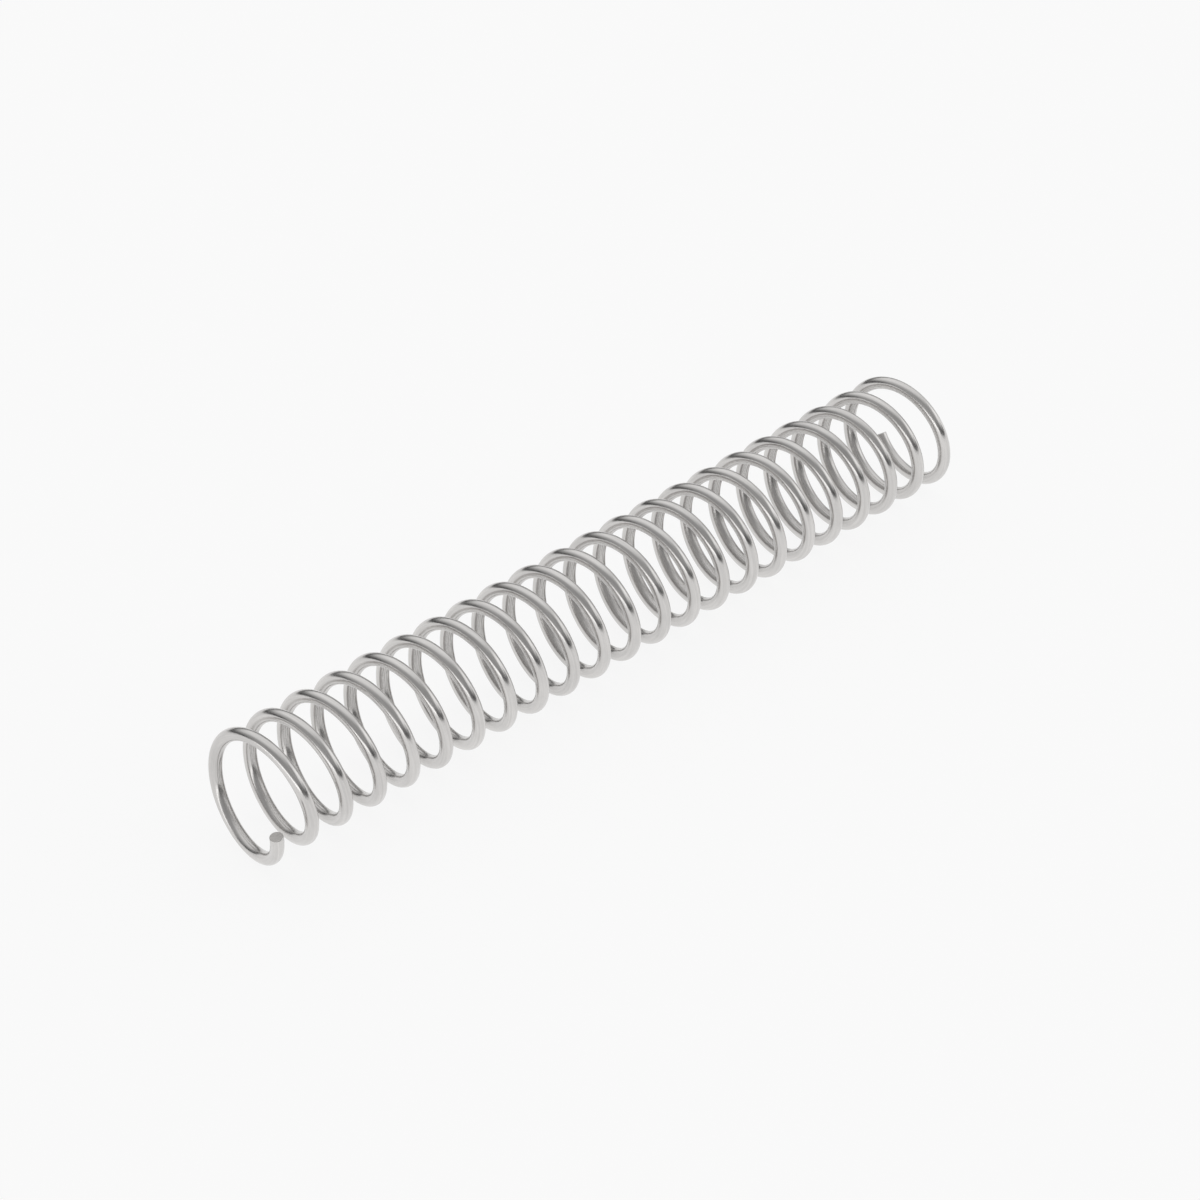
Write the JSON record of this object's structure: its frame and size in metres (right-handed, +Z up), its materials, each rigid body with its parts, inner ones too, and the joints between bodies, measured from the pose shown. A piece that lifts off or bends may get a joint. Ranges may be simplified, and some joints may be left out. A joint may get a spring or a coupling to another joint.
{
  "type": "compression spring",
  "caption": "Small round-wire compression spring: a long, even right-hand coil with open, square-cut ends.",
  "frame": {"origin": "on the coil's axis, midway between the two ends", "axes": "+X along the coil's axis, from the end where the wire starts to the end where it stops; +Z up, square to the axis"},
  "size_m": [0.07, 0.01, 0.01],
  "materials": {
    "spring_wire": "bright drawn steel spring wire, smooth and half glossy, with a slightly warm grey and faint drawing lines along the wire"
  },
  "bodies": {
    "root": {"spring": "spring_wire"}
  },
  "joints": []
}
